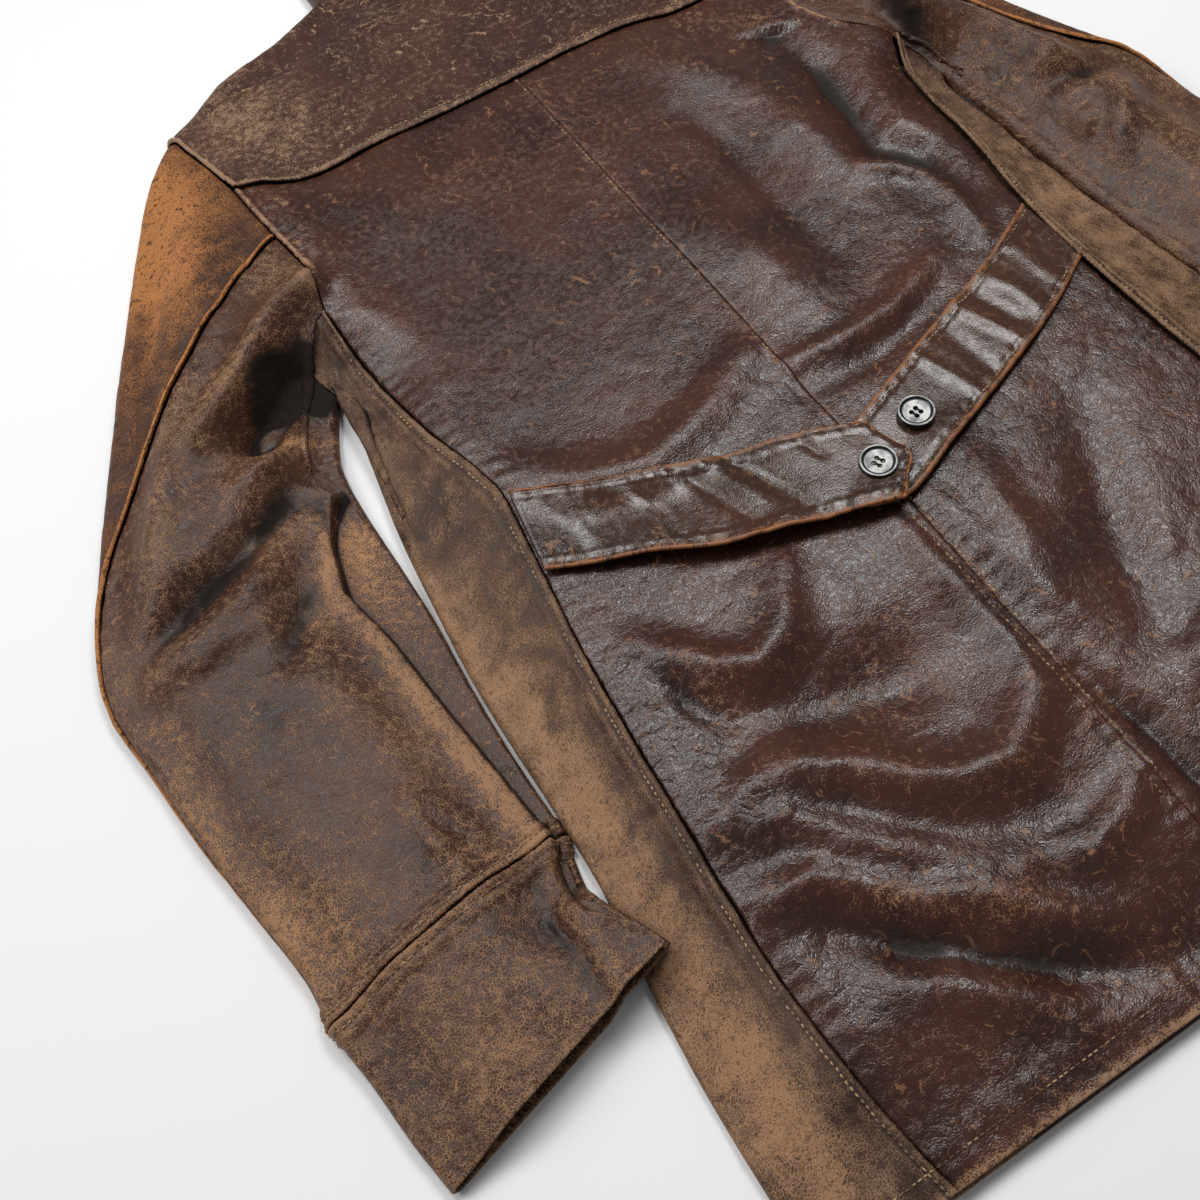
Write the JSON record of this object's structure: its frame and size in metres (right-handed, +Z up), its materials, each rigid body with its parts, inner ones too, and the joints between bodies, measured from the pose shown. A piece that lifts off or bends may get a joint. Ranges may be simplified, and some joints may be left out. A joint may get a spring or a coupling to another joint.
{
  "type": "worn leather coat",
  "caption": "Long worn leather coat laid flat on its front, with a half belt buttoned across the back and sleeves along its sides.",
  "frame": {"origin": "on the surface the coat lies on, under the middle of its outline", "axes": "+X across the back from the left sleeve in view to the right one, +Y along the back towards the collar, +Z up from the surface"},
  "size_m": [0.8002, 0.903, 0.0433],
  "materials": {
    "yoke_leather": "dull, scuffed and grazed to tan",
    "back_leather": "polished by wear, fine cracks",
    "side_leather": "rubbed through to tan, matt",
    "sleeve_leather": "crazed and rubbed to tan",
    "shoulder_leather": "dye worn away to orange tan",
    "belt_leather": "polished, raw orange edges",
    "plain_leather": "dull",
    "button": "mottled grey face, dark sides"
  },
  "bodies": {
    "root": {"yoke_back": "yoke_leather", "back_left": "back_leather", "back_right": "back_leather", "side_left": "side_leather", "side_right": "side_leather", "front_left": "plain_leather", "front_right": "plain_leather", "collar": "yoke_leather", "sleeve_top_left": "shoulder_leather", "sleeve_under_left": "sleeve_leather", "sleeve_top_right": "shoulder_leather", "sleeve_under_right": "sleeve_leather", "cuff_left": "sleeve_leather", "cuff_right": "sleeve_leather", "belt_left": "belt_leather", "belt_right": "belt_leather", "button_belt": "button", "button_spare": "button", "button_front_1": "button", "button_front_2": "button", "button_front_3": "button", "button_front_4": "button", "button_front_5": "button"}
  },
  "joints": []
}
